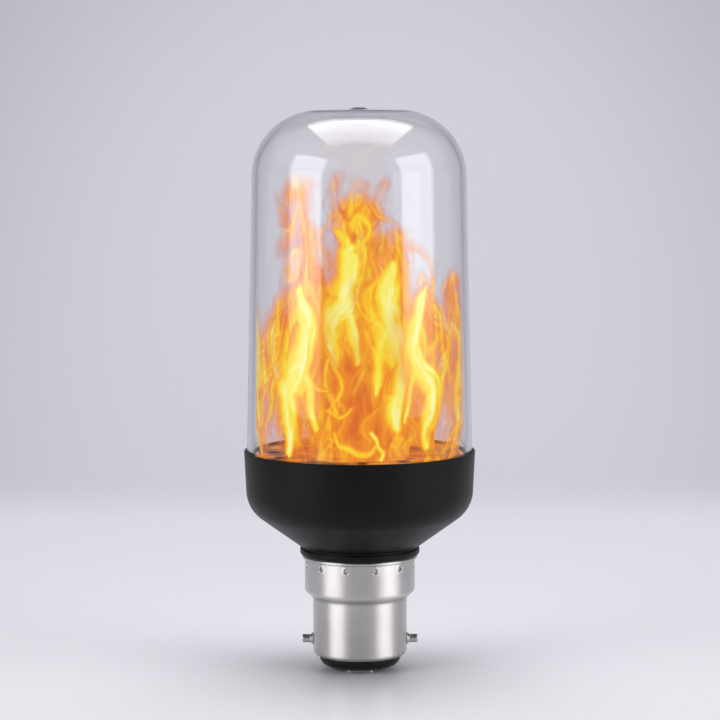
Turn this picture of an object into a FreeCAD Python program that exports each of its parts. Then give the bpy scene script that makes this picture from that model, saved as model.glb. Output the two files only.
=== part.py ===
"""A flame effect bulb with a two-pin bayonet cap, in millimetres.

The bulb stands on its two base contacts. Its origin is the centre of the contact plane, and +Z runs up the
bulb's axis to the moulding gate on top of the cover. The bayonet pins lie along X, and the front is -Y.
"""
import FreeCAD, Part
import math
import os

from FreeCAD import Vector

OUT = "parts"
UP = Vector(0, 0, 1)
SEAT_GAP = 0.05
SLIDE_GAP = 0.1

# Bayonet cap, a pressed metal shell of the common 22 mm size
CAP_BARREL_RADIUS = 11.0
CAP_SKIRT_RADIUS = 12.9
CAP_SHEET = 0.4
CAP_FOOT = 3.0
CAP_FOOT_ROUND = 1.6
CAP_MOUTH_RADIUS = 9.2
CAP_SHOULDER_BOTTOM = 17.0
CAP_SHOULDER_RISE = 1.7
CAP_SHOULDER_ROUND = 1.0
CAP_SKIRT_HEIGHT = 7.8
CAP_BEAD_HEIGHT = 0.5
CAP_BEAD_OUT = 0.2
CRIMP_COUNT = 12
CRIMP_DROP = 1.7
CRIMP_RADIUS = 0.8
CRIMP_OFFSET_DEG = 16.0

# Bayonet pins
PIN_RADIUS = 1.0
PIN_SPAN = 27.1
PIN_HEIGHT = 7.0
PIN_EDGE = 0.25
PIN_COLLAR_RADIUS = 1.5
PIN_COLLAR_LENGTH = 0.55
PIN_HEAD_RADIUS = 1.6
PIN_HEAD_THICKNESS = 0.35

# Cap insulator and its two contacts
INSULATOR_BOTTOM = 0.9
INSULATOR_NOSE_ROUND = 2.0
INSULATOR_FLOOR = 5.0
INSULATOR_TOP = 10.0
INSULATOR_WALL = 1.4
CONTACT_SPACING = 8.6
CONTACT_WIDTH = 6.6
CONTACT_DEPTH = 4.4
CONTACT_CORNER = 1.2
CONTACT_EDGE = 0.25
STEM_RADIUS = 1.3
STEM_LENGTH = 6.4
WIRE_RADIUS = 0.6

# Base housing, one black moulding: a bowl, a neck ring and a spigot inside the cap
HOUSING_RIM_RADIUS = 27.0
HOUSING_DRAFT_DEG = 3.0
HOUSING_SHOULDER_ROUND = 7.8
HOUSING_CONE_DEG = 34.0
HOUSING_WALL = 1.7
BOWL_HEIGHT = 21.8
NECK_RADIUS = 14.0
NECK_HEIGHT = 3.4
NECK_EDGE = 0.9
NECK_GROOVE_HEIGHT = 0.8
NECK_GROOVE_DEPTH = 0.5
SPIGOT_CLEAR = 1.4
SPIGOT_BORE = 10.9
RIM_EDGE = 0.2
COVER_SKIRT = 4.0

# Clear cover, one moulding with a slight draft and the gate mark on top
COVER_RIM_LIP = 0.7
COVER_DRAFT_DEG = 1.2
COVER_WALL = 1.4
COVER_HEIGHT = 79.0
COVER_ROUND = 15.5
GATE_RADIUS = 2.1
GATE_HEIGHT = 0.9

# Deck, light board and driver
DECK_BELOW_RIM = 0.5
DECK_THICKNESS = 1.4
DECK_SKIRT = 1.6
DECK_WALL = 0.7
WINDOW_RADIUS = 1.7
BOARD_THICKNESS = 1.6
BOARD_EDGE_GAP = 0.5
LED_SIDE = 2.8
LED_HEIGHT = 0.8
LED_DOME = 0.25
OUTER_LEDS = 12
INNER_LEDS = 6
BOSS_COUNT = 3
BOSS_RADIUS = 2.8
SCREW_RADIUS = 1.1
SCREW_LENGTH = 7.0
SCREW_HEAD_RADIUS = 2.1
SCREW_HEAD_HEIGHT = 1.2
SCREW_SLOT = 0.5

# Flame films, three nested printed sleeves cut to the flames' outline
FILM_THICKNESS = 0.4
FILM_WALL_GAP = 0.5
FILM_PITCH = 5.7
FILM_SEAT_DEPTH = 0.8
FLAME_HEADROOM = 22.0

# Each flame tongue: its angle from the front, its height as a share of the tallest, and its half width and
# sway, all but the height in degrees
OUTER_TONGUES = (
    (0, 0.20, 14, 5), (36, 0.30, 14, -5), (73, 0.60, 14, 4), (108, 0.48, 14, -4), (144, 0.36, 14, 5),
    (180, 0.56, 14, -5), (216, 0.38, 14, 5), (252, 0.54, 14, -4), (288, 0.62, 14, 4), (324, 0.26, 14, -5),
)
MIDDLE_TONGUES = (
    (-52, 0.66, 15, -5), (-17, 0.90, 15, 5), (22, 0.82, 16, -4), (61, 0.66, 15, 5), (100, 0.78, 16, -5),
    (140, 0.88, 16, 4), (180, 0.72, 16, 5), (220, 0.92, 16, -5), (264, 0.74, 17, 5),
)
INNER_TONGUES = (
    (-12, 0.98, 26, 8), (60, 0.86, 26, -8), (132, 1.00, 26, 7), (204, 0.90, 26, -7), (276, 0.95, 26, 8),
)

# Driver board and what it carries
DRIVER_THICKNESS = 1.0
DRIVER_TOP_GAP = 2.6
RAIL_DEPTH = 2.0
RAIL_WIDTH = 3.0
RAIL_FLOOR = 1.4
RAIL_ABOVE_NECK = 1.2
RAIL_WALL_GAP = 0.5
WIRE_END_HEIGHT = 2.0
WIRE_BEND = 3.2
RESERVOIR_RADIUS = 4.0
RESERVOIR_LENGTH = 10.0
TRANSFORMER_SIDE = 8.0
TRANSFORMER_DEPTH = 6.5
FILM_CAPACITOR_WIDTH = 7.0
FILM_CAPACITOR_DEPTH = 3.6
CHIP_WIDTH = 4.8
CHIP_HEIGHT = 4.0
CHIP_DEPTH = 1.6
RESISTOR_RADIUS = 1.2
RESISTOR_LENGTH = 6.5
SENSOR_RADIUS = 2.2
SENSOR_LENGTH = 6.0
LINK_WIDTH = 7.6
LINK_DEPTH = 2.6
SOLDER_GAP = 1.0

# Worked out from the sizes above
RIM_TAN = math.tan(math.radians(HOUSING_DRAFT_DEG))
CONE_TAN = math.tan(math.radians(HOUSING_CONE_DEG))
COVER_TAN = math.tan(math.radians(COVER_DRAFT_DEG))
CAP_SHOULDER_TOP = CAP_SHOULDER_BOTTOM + CAP_SHOULDER_RISE
CAP_HEIGHT = CAP_SHOULDER_TOP + CAP_SKIRT_HEIGHT
SPIGOT_FOOT = CAP_SHOULDER_TOP + SPIGOT_CLEAR
CONE_FOOT = CAP_HEIGHT + NECK_HEIGHT
HOUSING_RIM = CONE_FOOT + BOWL_HEIGHT
COVER_RADIUS = HOUSING_RIM_RADIUS - COVER_RIM_LIP
COVER_FOOT = HOUSING_RIM - COVER_SKIRT
COVER_TOP = HOUSING_RIM + COVER_HEIGHT
DECK_TOP = HOUSING_RIM - DECK_BELOW_RIM
DECK_UNDERSIDE = DECK_TOP - DECK_THICKNESS
BOARD_TOP = DECK_UNDERSIDE - DECK_SKIRT
BOARD_BOTTOM = BOARD_TOP - BOARD_THICKNESS
BARREL_BORE = CAP_BARREL_RADIUS - CAP_SHEET
SKIRT_BORE = CAP_SKIRT_RADIUS - CAP_SHEET
PIN_HEAD_FACE = math.sqrt(BARREL_BORE ** 2 - PIN_HEAD_RADIUS ** 2) - SEAT_GAP
PIN_HEAD_BACK = PIN_HEAD_FACE - PIN_HEAD_THICKNESS


def cover_radius(z):
    """Outer radius of the clear cover's straight wall at a height."""
    return COVER_RADIUS - (z - HOUSING_RIM) * COVER_TAN


COVER_BORE_AT_FOOT = cover_radius(DECK_TOP) - COVER_WALL / math.cos(math.radians(COVER_DRAFT_DEG))
COVER_BORE_AT_TOP = COVER_BORE_AT_FOOT - (COVER_TOP - COVER_ROUND - DECK_TOP) * COVER_TAN
BOARD_RADIUS = COVER_BORE_AT_FOOT - BOARD_EDGE_GAP
OUTER_FILM_RADIUS = COVER_BORE_AT_TOP - FILM_WALL_GAP
MIDDLE_FILM_RADIUS = OUTER_FILM_RADIUS - FILM_PITCH
INNER_FILM_RADIUS = MIDDLE_FILM_RADIUS - FILM_PITCH
OUTER_LED_CIRCLE = OUTER_FILM_RADIUS - FILM_PITCH / 2
INNER_LED_CIRCLE = MIDDLE_FILM_RADIUS - FILM_PITCH / 2
FILM_FOOT = DECK_TOP - FILM_SEAT_DEPTH
FLAME_HEIGHT = COVER_TOP - COVER_WALL - FLAME_HEADROOM - DECK_TOP
SCREW_STEP_DEG = 360.0 / OUTER_LEDS
DRIVER_BOTTOM = SPIGOT_FOOT + RAIL_FLOOR
DRIVER_TOP = BOARD_BOTTOM - DRIVER_TOP_GAP
DRIVER_HALF_WIDTH = SPIGOT_BORE - RAIL_WALL_GAP


def on_axis(r, z):
    """A point of a turned profile: radius and height."""
    return Vector(r, 0, z)


def around(radius, degrees, z):
    """A point at an angle from the front, which is -Y; positive angles turn towards +X."""
    a = math.radians(degrees)
    return Vector(radius * math.sin(a), -radius * math.cos(a), z)


def rounded_edges(corners, closed):
    """Straight runs joined by tangent arcs. A corner is (point, radius), and radius 0 leaves it sharp."""
    count = len(corners)
    trims = []
    for i, (point, radius) in enumerate(corners):
        inner = closed or 0 < i < count - 1
        if not inner or radius <= 0:
            trims.append((point, None, point))
            continue
        back = (corners[i - 1][0] - point).normalize()
        ahead = (corners[(i + 1) % count][0] - point).normalize()
        half = back.getAngle(ahead) / 2
        cut = radius / math.tan(half)
        middle = (back + ahead).normalize()
        centre = point + middle * (radius / math.sin(half))
        trims.append((point + back * cut, centre - middle * radius, point + ahead * cut))
    edges = []
    for i, (start, top, end) in enumerate(trims):
        if top is not None:
            edges.append(Part.Arc(start, top, end).toShape())
        following = trims[(i + 1) % count][0]
        if (closed or i + 1 < count) and (following - end).Length > 1e-6:
            edges.append(Part.LineSegment(end, following).toShape())
    return edges


def turned(corners):
    """A solid of revolution about Z from closed profile corners ((radius, height, rounding), ...)."""
    points = [(on_axis(r, z), rounding) for r, z, rounding in corners]
    face = Part.Face(Part.Wire(rounded_edges(points, True)))
    return face.revolve(Vector(0, 0, 0), UP, 360)


def inward(path, depth):
    """The corners of an open profile path moved depth to its left side, with their roundings to match."""
    moved = []
    last = len(path) - 1
    for i, (r, z, rounding) in enumerate(path):
        here = on_axis(r, z)
        before = (here - on_axis(*path[i - 1][:2])).normalize() if i else None
        after = (on_axis(*path[i + 1][:2]) - here).normalize() if i < last else None
        first, second = before or after, after or before
        left_first = Vector(-first.z, 0, first.x)
        left_second = Vector(-second.z, 0, second.x)
        step = (left_first + left_second) * (depth / (1 + left_first.dot(left_second)))
        turn = first.x * second.z - first.z * second.x
        change = -depth if turn > 0 else depth
        new_rounding = max(rounding + change, 0.0) if rounding > 0 else 0.0
        moved.append((r + step.x, z + step.z, new_rounding))
    return moved


def walled(path, thickness):
    """A turned shell: its outside follows path from bottom to top, and its wall lies to the path's left."""
    return turned(list(path) + list(reversed(inward(path, thickness))))


def rod(centre, radius, length, direction=UP):
    return Part.makeCylinder(radius, length, centre, direction)


def block(x, y, z):
    """A box from three (low, high) pairs."""
    return Part.makeBox(x[1] - x[0], y[1] - y[0], z[1] - z[0], Vector(x[0], y[0], z[0]))


def fused(first, *others):
    return first.fuse(list(others)).removeSplitter() if others else first


def single(shape):
    """The shape as its one solid."""
    solids = shape.Solids
    if len(solids) != 1:
        raise ValueError("expected one solid, found %d" % len(solids))
    return solids[0]


def crimp_balls(radius):
    """Balls at the crimps around the top of the cap's skirt."""
    balls = []
    for i in range(CRIMP_COUNT):
        angle = CRIMP_OFFSET_DEG + i * 360.0 / CRIMP_COUNT
        centre = around(CAP_SKIRT_RADIUS + CRIMP_RADIUS * 0.4, angle, CAP_HEIGHT - CRIMP_DROP)
        balls.append(Part.makeSphere(radius, centre))
    return Part.makeCompound(balls)


def cap_path():
    """Outside of the cap shell from the curled mouth up to the neck."""
    return [
        (CAP_MOUTH_RADIUS, CAP_FOOT, 0),
        (CAP_BARREL_RADIUS, CAP_FOOT, CAP_FOOT_ROUND),
        (CAP_BARREL_RADIUS, CAP_SHOULDER_BOTTOM, CAP_SHOULDER_ROUND * 0.5),
        (CAP_SKIRT_RADIUS, CAP_SHOULDER_TOP, CAP_SHOULDER_ROUND),
        (CAP_SKIRT_RADIUS, CAP_HEIGHT, 0),
    ]


def cap_shell():
    """Pressed shell with a bead at its top edge, crimp dimples and two pin holes."""
    bead_bottom = CAP_HEIGHT - CAP_BEAD_HEIGHT
    bead = rod(Vector(0, 0, bead_bottom), CAP_SKIRT_RADIUS + CAP_BEAD_OUT, CAP_BEAD_HEIGHT)
    bead = bead.cut(rod(Vector(0, 0, bead_bottom), CAP_SKIRT_RADIUS - CAP_SHEET / 2, CAP_BEAD_HEIGHT))
    shell = fused(walled(cap_path(), CAP_SHEET), bead)
    bore = rod(Vector(0, 0, CAP_SHOULDER_TOP), SKIRT_BORE + CAP_SHEET / 2, CAP_HEIGHT - CAP_SHOULDER_TOP)
    bumps = crimp_balls(CRIMP_RADIUS + CAP_SHEET).common(bore)
    shell = fused(shell, *bumps.Solids).cut(crimp_balls(CRIMP_RADIUS))
    for side in (-1, 1):
        start = Vector(side * (BARREL_BORE - 1), 0, PIN_HEIGHT)
        shell = shell.cut(rod(start, PIN_RADIUS + SEAT_GAP / 5, CAP_SHEET + 2, Vector(side, 0, 0)))
    return single(shell)


def bayonet_pin(side):
    """A pin riveted through the barrel: an inner head, a flared collar outside and a plain round end."""
    tip = PIN_SPAN / 2
    root = CAP_BARREL_RADIUS + SEAT_GAP
    corners = [
        (0, PIN_HEAD_BACK, 0),
        (PIN_HEAD_RADIUS, PIN_HEAD_BACK, 0),
        (PIN_HEAD_RADIUS, PIN_HEAD_FACE, 0),
        (PIN_RADIUS, PIN_HEAD_FACE, 0),
        (PIN_RADIUS, root, 0),
        (PIN_COLLAR_RADIUS, root, 0),
        (PIN_RADIUS, root + PIN_COLLAR_LENGTH, 0),
        (PIN_RADIUS, tip, PIN_EDGE),
        (0, tip, 0),
    ]
    pin = turned(corners)
    pin.rotate(Vector(0, 0, 0), Vector(0, 1, 0), 90 * side)
    pin.translate(Vector(0, 0, PIN_HEIGHT))
    return single(pin)


def contact_centre(side):
    return Vector(0, side * CONTACT_SPACING / 2, 0)


def cap_insulator():
    """Black plug that closes the cap: a rounded nose through the mouth and a cup inside the barrel."""
    body = PIN_HEAD_BACK - SLIDE_GAP
    nose = CAP_MOUTH_RADIUS - SEAT_GAP
    seat = CAP_FOOT + CAP_SHEET + SEAT_GAP
    cup = body - INSULATOR_WALL
    plug = turned([
        (0, INSULATOR_BOTTOM, 0),
        (nose, INSULATOR_BOTTOM, INSULATOR_NOSE_ROUND),
        (nose, seat, 0),
        (body, seat, CAP_FOOT_ROUND / 2),
        (body, INSULATOR_TOP, 0.3),
        (cup, INSULATOR_TOP, 0.3),
        (cup, INSULATOR_FLOOR, 0.6),
        (0, INSULATOR_FLOOR, 0),
    ])
    for side in (-1, 1):
        foot = contact_centre(side)
        plug = plug.cut(rod(foot, STEM_RADIUS + SEAT_GAP, INSULATOR_FLOOR + 1))
    return single(plug)


def base_contact(side):
    """A brass contact: a rounded plate on the insulator's nose and a tube stem through its floor."""
    centre = contact_centre(side)
    x = (-CONTACT_WIDTH / 2, CONTACT_WIDTH / 2)
    y = (centre.y - CONTACT_DEPTH / 2, centre.y + CONTACT_DEPTH / 2)
    plate = block(x, y, (0, INSULATOR_BOTTOM))
    upright = [e for e in plate.Edges if abs(e.tangentAt(e.FirstParameter).z) > 0.9]
    plate = plate.makeFillet(CONTACT_CORNER, upright)
    plate = plate.makeFillet(CONTACT_EDGE, [e for e in plate.Edges if e.BoundBox.ZMax < CONTACT_EDGE])
    contact = fused(plate, rod(centre, STEM_RADIUS, STEM_LENGTH))
    well = INSULATOR_BOTTOM * 2
    contact = contact.cut(rod(centre + UP * well, WIRE_RADIUS + SEAT_GAP, STEM_LENGTH))
    return single(contact)


def lead_wire(side):
    """An insulated lead from a contact's stem, up through the cap, to the face of the driver board."""
    start = contact_centre(side) + UP * (INSULATOR_BOTTOM * 2)
    level = DRIVER_BOTTOM + WIRE_END_HEIGHT
    corners = [
        (start, 0),
        (Vector(0, start.y, level), WIRE_BEND),
        (Vector(0, side * DRIVER_THICKNESS / 2, level), 0),
    ]
    path = Part.Wire(rounded_edges(corners, False))
    section = Part.Wire(Part.Circle(start, UP, WIRE_RADIUS).toShape())
    return single(path.makePipeShell([section], True, False))


def housing_path():
    """Outside of the bowl from the foot of its cone up to the rim."""
    foot = on_axis(NECK_RADIUS, CONE_FOOT)
    rim = on_axis(HOUSING_RIM_RADIUS, HOUSING_RIM)
    rise = rim.z - foot.z
    run = (HOUSING_RIM_RADIUS - rise * RIM_TAN - foot.x) / (1 - CONE_TAN * RIM_TAN)
    corner = on_axis(foot.x + run, foot.z + run * CONE_TAN)
    return [(foot.x, foot.z, 0), (corner.x, corner.z, HOUSING_SHOULDER_ROUND), (rim.x, rim.z, 0)]


def bowl_fill(depth):
    """The bowl as a solid, its outside moved in by depth, with the spigot below it."""
    path = inward(housing_path(), depth)
    spigot = SKIRT_BORE - SEAT_GAP - depth
    foot = [(0, SPIGOT_FOOT, 0), (spigot, SPIGOT_FOOT, 0), (spigot, path[0][1], 0)]
    return turned([*foot, *path[1:], (0, path[-1][1], 0)])


def boss_points(z):
    """The three screw places, midway between light chips."""
    step = 360.0 / BOSS_COUNT
    return [around(OUTER_LED_CIRCLE, SCREW_STEP_DEG / 2 + i * step, z) for i in range(BOSS_COUNT)]


def base_housing():
    """Bowl, neck ring and spigot in one moulding, with screw bosses and the driver board's rails inside."""
    path = housing_path()
    spigot = SKIRT_BORE - SEAT_GAP
    ledge_bore = COVER_BORE_AT_FOOT
    ledge = COVER_FOOT - SEAT_GAP
    foot, corner, _ = inward(path, HOUSING_WALL)
    pocket = cover_radius(COVER_FOOT) + SEAT_GAP
    groove_radius = NECK_RADIUS - NECK_GROOVE_DEPTH
    bore_meets_cone = foot[1] - (foot[0] - SPIGOT_BORE) * CONE_TAN
    shell = turned([
        (spigot, SPIGOT_FOOT, 0.4),
        (spigot, CAP_HEIGHT, 0),
        (NECK_RADIUS, CAP_HEIGHT, NECK_EDGE),
        (NECK_RADIUS, CONE_FOOT - NECK_GROOVE_HEIGHT, NECK_GROOVE_DEPTH * 0.4),
        (groove_radius, CONE_FOOT - NECK_GROOVE_HEIGHT, 0),
        (groove_radius, CONE_FOOT, 0),
        *path[:-1],
        (path[-1][0], path[-1][1], RIM_EDGE),
        (pocket, HOUSING_RIM, RIM_EDGE / 2),
        (pocket, ledge, 0),
        (ledge_bore, ledge, 0),
        (ledge_bore, corner[1] + HOUSING_SHOULDER_ROUND, 0),
        (corner[0], corner[1], corner[2] * 0.7),
        (SPIGOT_BORE, bore_meets_cone, 0),
        (SPIGOT_BORE, SPIGOT_FOOT, 0.3),
    ])
    fill = bowl_fill(HOUSING_WALL / 2)
    boss_height = BOARD_BOTTOM - SPIGOT_FOOT
    bosses = [rod(p, BOSS_RADIUS, boss_height).common(fill) for p in boss_points(SPIGOT_FOOT)]
    rail_top = CONE_FOOT + RAIL_ABOVE_NECK
    rails = []
    for side in (-1, 1):
        ends = sorted((side * (SPIGOT_BORE - RAIL_DEPTH), side * (SPIGOT_BORE + HOUSING_WALL)))
        rails.append(block(ends, (-RAIL_WIDTH / 2, RAIL_WIDTH / 2), (SPIGOT_FOOT, rail_top)).common(fill))
    shell = fused(shell, *bosses, *rails)
    slot = DRIVER_THICKNESS / 2 + SEAT_GAP
    reach = DRIVER_HALF_WIDTH + SEAT_GAP
    shell = shell.cut(block((-reach, reach), (-slot, slot), (DRIVER_BOTTOM, rail_top + 1)))
    for p in boss_points(BOARD_BOTTOM - SCREW_LENGTH):
        shell = shell.cut(rod(p, SCREW_RADIUS + SEAT_GAP, SCREW_LENGTH + 1))
    return single(shell.cut(crimp_balls(CRIMP_RADIUS + CAP_SHEET + SEAT_GAP)))


def clear_cover():
    """Clear moulded dome with drafted sides, a rounded shoulder and the gate mark at its crown."""
    foot = (cover_radius(COVER_FOOT), COVER_FOOT, 0)
    shoulder = (cover_radius(COVER_TOP), COVER_TOP, COVER_ROUND)
    path = [foot, shoulder, (0, COVER_TOP, 0)]
    dome = walled(path, COVER_WALL)
    gate = rod(Vector(0, 0, COVER_TOP - COVER_WALL / 2), GATE_RADIUS, GATE_HEIGHT + COVER_WALL / 2)
    middle = COVER_TOP + GATE_HEIGHT / 2
    top_edge = [e for e in gate.Edges if e.BoundBox.ZMin > middle and e.Length > GATE_RADIUS]
    return single(fused(dome, gate.makeFillet(GATE_HEIGHT * 0.5, top_edge)))


def chip_places(circle, count):
    """Angles and centres of the light chips on one circle."""
    step = 360.0 / count
    return [(i * step, around(circle, i * step, BOARD_TOP)) for i in range(count)]


def all_chips():
    return chip_places(OUTER_LED_CIRCLE, OUTER_LEDS) + chip_places(INNER_LED_CIRCLE, INNER_LEDS)


def groove(radius):
    """The ring that a film's foot stands in."""
    half = FILM_THICKNESS / 2 + SEAT_GAP
    ring = rod(Vector(0, 0, FILM_FOOT), radius + half, FILM_SEAT_DEPTH + 1)
    return ring.cut(rod(Vector(0, 0, FILM_FOOT), radius - half, FILM_SEAT_DEPTH + 1))


def deck_plate():
    """Glossy black deck: a disc on a short skirt, with windows over the light chips and film grooves."""
    bore = BOARD_RADIUS - DECK_WALL
    deck = turned([
        (0, DECK_UNDERSIDE, 0),
        (bore, DECK_UNDERSIDE, 0),
        (bore, BOARD_TOP, 0),
        (BOARD_RADIUS, BOARD_TOP, 0),
        (BOARD_RADIUS, DECK_TOP, 0.3),
        (0, DECK_TOP, 0),
    ])
    for _, place in all_chips():
        deck = deck.cut(rod(place, WINDOW_RADIUS, DECK_TOP - BOARD_TOP + 1))
    for radius in (OUTER_FILM_RADIUS, MIDDLE_FILM_RADIUS, INNER_FILM_RADIUS):
        deck = deck.cut(groove(radius))
    return single(deck)


def light_board():
    """Metal-core board for the light chips, held by three screws."""
    board = rod(Vector(0, 0, BOARD_BOTTOM), BOARD_RADIUS, BOARD_THICKNESS)
    for p in boss_points(BOARD_BOTTOM - 1):
        board = board.cut(rod(p, SCREW_RADIUS + SLIDE_GAP, BOARD_THICKNESS + 2))
    return single(board)


def light_chip(angle, place):
    """A square chip with a low lens of phosphor."""
    half = LED_SIDE / 2
    body = block((-half, half), (-half, half), (0, LED_HEIGHT - LED_DOME))
    lens = Part.makeCone(half * 0.86, half * 0.7, LED_DOME, Vector(0, 0, LED_HEIGHT - LED_DOME))
    chip = fused(body, lens)
    chip.rotate(Vector(0, 0, 0), UP, angle)
    chip.translate(place)
    return single(chip)


def board_screw(place):
    """A slotted pan-head screw in a boss."""
    head = turned([
        (0, 0, 0),
        (SCREW_HEAD_RADIUS, 0, 0),
        (SCREW_HEAD_RADIUS, SCREW_HEAD_HEIGHT, 0.5),
        (0, SCREW_HEAD_HEIGHT, 0),
    ])
    shank = rod(Vector(0, 0, -SCREW_LENGTH), SCREW_RADIUS, SCREW_LENGTH + SCREW_HEAD_HEIGHT / 2)
    reach = SCREW_HEAD_RADIUS + 1
    half = SCREW_SLOT / 2
    slot = block((-reach, reach), (-half, half), (SCREW_HEAD_HEIGHT / 2, SCREW_HEAD_HEIGHT + 1))
    screw = fused(head, shank).cut(slot)
    screw.translate(place)
    return single(screw)


def tongue_sides(height, half_width, sway):
    """Left and right outline points of one tongue as (angle in degrees, height above the deck)."""
    shares = ((0.0, 0.50), (0.16, 0.86), (0.36, 1.0), (0.58, 0.66), (0.80, 0.30))
    lean = [(s, sway * math.sin(math.pi * 1.5 * s)) for s, _ in shares]
    left = [(at - half_width * w, height * s) for (s, at), (_, w) in zip(lean, shares)]
    right = [(at + half_width * w, height * s) for (s, at), (_, w) in zip(lean, shares)]
    return left, right, (sway * math.sin(math.pi * 1.5), height)


def flame_tongue(radius, angle, height, half_width, sway):
    """A prism with a tongue's outline, set across the film at its angle from the front."""
    left, right, tip = tongue_sides(height, half_width, sway)

    def flat(point):
        return Vector(radius * math.sin(math.radians(point[0])), 0, DECK_TOP + point[1])

    sunk = Vector(0, 0, -FILM_SEAT_DEPTH / 2)
    up_side = Part.BSplineCurve()
    up_side.interpolate([flat(p) for p in right] + [flat(tip)])
    down_side = Part.BSplineCurve()
    down_side.interpolate([flat(tip)] + [flat(p) for p in reversed(left)])
    low_left = flat(left[0]) + sunk
    low_right = flat(right[0]) + sunk
    edges = [
        Part.LineSegment(low_left, low_right).toShape(),
        Part.LineSegment(low_right, flat(right[0])).toShape(),
        up_side.toShape(),
        down_side.toShape(),
        Part.LineSegment(flat(left[0]), low_left).toShape(),
    ]
    prism = Part.Face(Part.Wire(edges)).extrude(Vector(0, -radius - 1, 0))
    prism.translate(Vector(0, -radius * 0.2, 0))
    prism.rotate(Vector(0, 0, 0), UP, angle)
    return prism


def sleeve(radius, bottom, top):
    half = FILM_THICKNESS / 2
    tube = rod(Vector(0, 0, bottom), radius + half, top - bottom)
    return tube.cut(rod(Vector(0, 0, bottom), radius - half, top - bottom))


def flame_film(radius, tongues):
    """A clear printed sleeve, cut to its flames' outline above a band that stands in the deck's groove."""
    band = sleeve(radius, FILM_FOOT, DECK_TOP)
    full = sleeve(radius, FILM_FOOT, DECK_TOP + FLAME_HEIGHT * 1.1)
    cut = [
        full.common(flame_tongue(radius, angle, share * FLAME_HEIGHT, half_width, sway))
        for angle, share, half_width, sway in tongues
    ]
    return single(fused(band, *cut))


def driver_parts():
    """The driver board in its rails, and what is soldered to its two faces."""
    front = -DRIVER_THICKNESS / 2
    rear = DRIVER_THICKNESS / 2
    low = DRIVER_BOTTOM + SOLDER_GAP
    high = CONE_FOOT + RAIL_ABOVE_NECK + SOLDER_GAP
    width = DRIVER_HALF_WIDTH
    beside_wire = WIRE_RADIUS + SOLDER_GAP / 2
    coil_left = -width + SOLDER_GAP
    coil_x = (coil_left, coil_left + TRANSFORMER_SIDE)
    capacitor_x = (-beside_wire - FILM_CAPACITOR_WIDTH, -beside_wire)
    bridge_x = (-beside_wire - CHIP_WIDTH, -beside_wire)
    bridge_bottom = DRIVER_BOTTOM + CHIP_HEIGHT + SOLDER_GAP * 2
    bridge_z = (bridge_bottom, bridge_bottom + CHIP_HEIGHT)
    chip_x = (beside_wire, beside_wire + CHIP_WIDTH)
    chip_y = (front - CHIP_DEPTH, front)
    can = Vector(width - SOLDER_GAP * 2 - RESERVOIR_RADIUS, rear + RESERVOIR_RADIUS, high)
    resistor = Vector(beside_wire, front - RESISTOR_RADIUS, low + RESISTOR_RADIUS)
    sensor = Vector(-width / 2, front - SENSOR_RADIUS, high)
    link_right = can.x - RESERVOIR_RADIUS - SOLDER_GAP / 2
    link_x = (link_right - LINK_WIDTH, link_right)
    link_y = (-LINK_DEPTH / 2, LINK_DEPTH / 2)
    return {
        "driver_board": block((-width, width), (front, rear), (DRIVER_BOTTOM, DRIVER_TOP)),
        "board_connector": block(link_x, link_y, (DRIVER_TOP, BOARD_BOTTOM)),
        "reservoir_capacitor": rod(can, RESERVOIR_RADIUS, RESERVOIR_LENGTH),
        "transformer": block(coil_x, (rear, rear + TRANSFORMER_DEPTH), (high, high + TRANSFORMER_SIDE)),
        "film_capacitor": block(capacitor_x, (rear, rear + FILM_CAPACITOR_DEPTH), (low, high - SOLDER_GAP)),
        "bridge_rectifier": block(bridge_x, chip_y, bridge_z),
        "controller_chip": block(chip_x, chip_y, (high, high + CHIP_HEIGHT)),
        "fusible_resistor": rod(resistor, RESISTOR_RADIUS, RESISTOR_LENGTH, Vector(1, 0, 0)),
        "tilt_sensor": rod(sensor, SENSOR_RADIUS, SENSOR_LENGTH),
    }


def all_parts():
    parts = {
        "cap_shell": cap_shell(),
        "bayonet_pin_left": bayonet_pin(-1),
        "bayonet_pin_right": bayonet_pin(1),
        "cap_insulator": cap_insulator(),
        "contact_front": base_contact(-1),
        "contact_rear": base_contact(1),
        "live_wire": lead_wire(-1),
        "neutral_wire": lead_wire(1),
        "base_housing": base_housing(),
        "clear_cover": clear_cover(),
        "deck_plate": deck_plate(),
        "light_board": light_board(),
        "flame_film_outer": flame_film(OUTER_FILM_RADIUS, OUTER_TONGUES),
        "flame_film_middle": flame_film(MIDDLE_FILM_RADIUS, MIDDLE_TONGUES),
        "flame_film_inner": flame_film(INNER_FILM_RADIUS, INNER_TONGUES),
    }
    for i, (angle, place) in enumerate(chip_places(OUTER_LED_CIRCLE, OUTER_LEDS)):
        parts["outer_light_%02d" % (i + 1)] = light_chip(angle, place)
    for i, (angle, place) in enumerate(chip_places(INNER_LED_CIRCLE, INNER_LEDS)):
        parts["inner_light_%02d" % (i + 1)] = light_chip(angle, place)
    for i, place in enumerate(boss_points(BOARD_TOP)):
        parts["board_screw_%d" % (i + 1)] = board_screw(place)
    parts.update(driver_parts())
    return parts


os.makedirs(OUT, exist_ok=True)
for name, shape in all_parts().items():
    shape.exportStep(os.path.join(OUT, name + ".step"))
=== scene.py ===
"""The looks of a flame effect bulb: a clear cover over glowing flames, a black bowl base and a bayonet cap.

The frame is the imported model's, in metres: +Z up the bulb's axis from the contacts, and the pins along X.
Profiles and strokes are written in millimetres, and their points are scaled by MM as they go into a mesh.
"""
import math

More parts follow.
